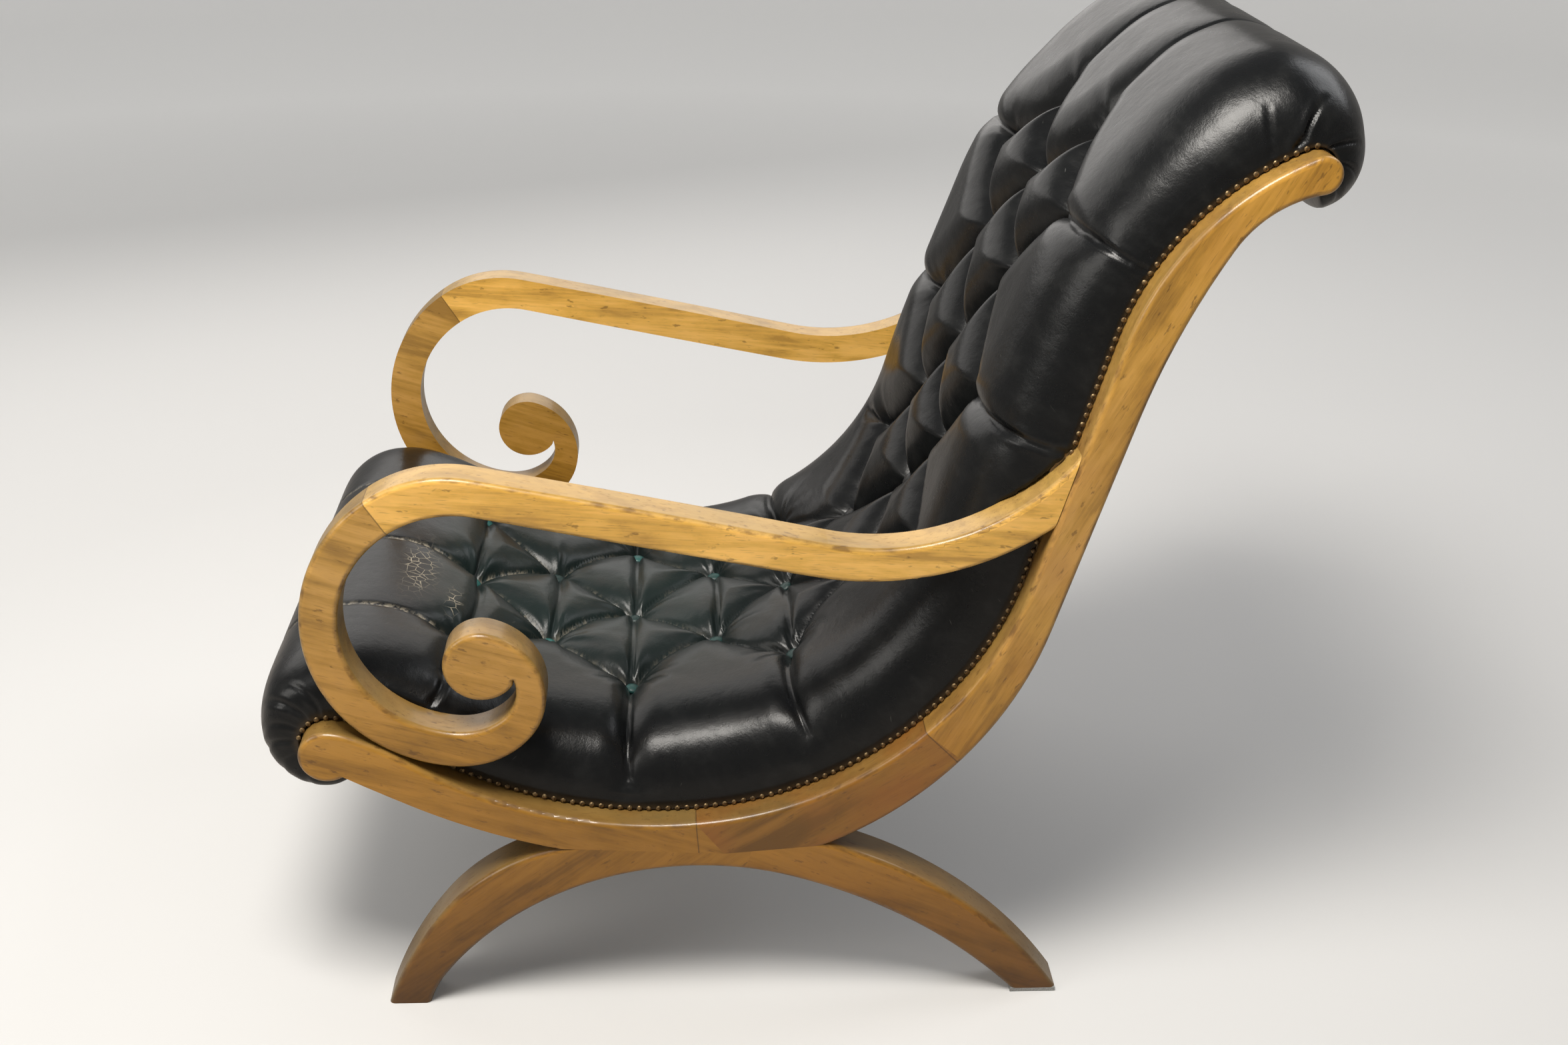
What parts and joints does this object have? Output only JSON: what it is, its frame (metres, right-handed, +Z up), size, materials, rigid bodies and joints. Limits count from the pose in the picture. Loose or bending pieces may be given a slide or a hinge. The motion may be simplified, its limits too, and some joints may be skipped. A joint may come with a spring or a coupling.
{
  "type": "scroll arm tufted lounge chair",
  "caption": "Low open armchair with a curved hardwood side frame on an arched crossed base, scrolled arms and a button tufted leather seat and back in one sweep.",
  "frame": {"origin": "on the floor, midway between the two sides and midway between the front roll and the back roll", "axes": "+X to the sitter's left, +Y towards the back of the chair, +Z up; the sitter faces -Y"},
  "size_m": [0.605, 0.9556, 0.8828],
  "materials": {
    "show_wood": "polished golden brown hardwood",
    "inner_wood": "raw sawn beech",
    "leather": "satin black leather with dark green wear on the seat",
    "seat_button_leather": "satin teal green leather",
    "back_button_leather": "satin black leather",
    "webbing": "woven jute",
    "base_cloth": "open hessian",
    "under_cloth": "black cotton",
    "felt": "grey felt"
  },
  "bodies": {
    "root": {"left_front_seat_rail": "show_wood", "left_rear_seat_rail": "show_wood", "left_back_stile": "show_wood", "left_front_leg": "show_wood", "left_rear_leg": "show_wood", "left_arm_rail": "show_wood", "left_arm_scroll": "show_wood", "left_seat_tacking_rail": "inner_wood", "left_back_tacking_rail": "inner_wood", "left_rear_foot_pad": "felt", "right_front_seat_rail": "show_wood", "right_rear_seat_rail": "show_wood", "right_back_stile": "show_wood", "right_front_leg": "show_wood", "right_rear_leg": "show_wood", "right_arm_rail": "show_wood", "right_arm_scroll": "show_wood", "right_seat_tacking_rail": "inner_wood", "right_back_tacking_rail": "inner_wood", "right_rear_foot_pad": "felt", "front_cross_rail": "inner_wood", "rear_seat_cross_rail": "inner_wood", "waist_cross_rail": "inner_wood", "crest_rail": "inner_wood", "stretcher": "show_wood", "seat_webbing": "webbing", "back_webbing": "webbing", "base_cloth": "base_cloth", "bottom_cover": "under_cloth", "outside_back": "leather", "leather_pad": "leather", "seat_buttons": "seat_button_leather", "back_buttons": "back_button_leather"}
  },
  "joints": []
}
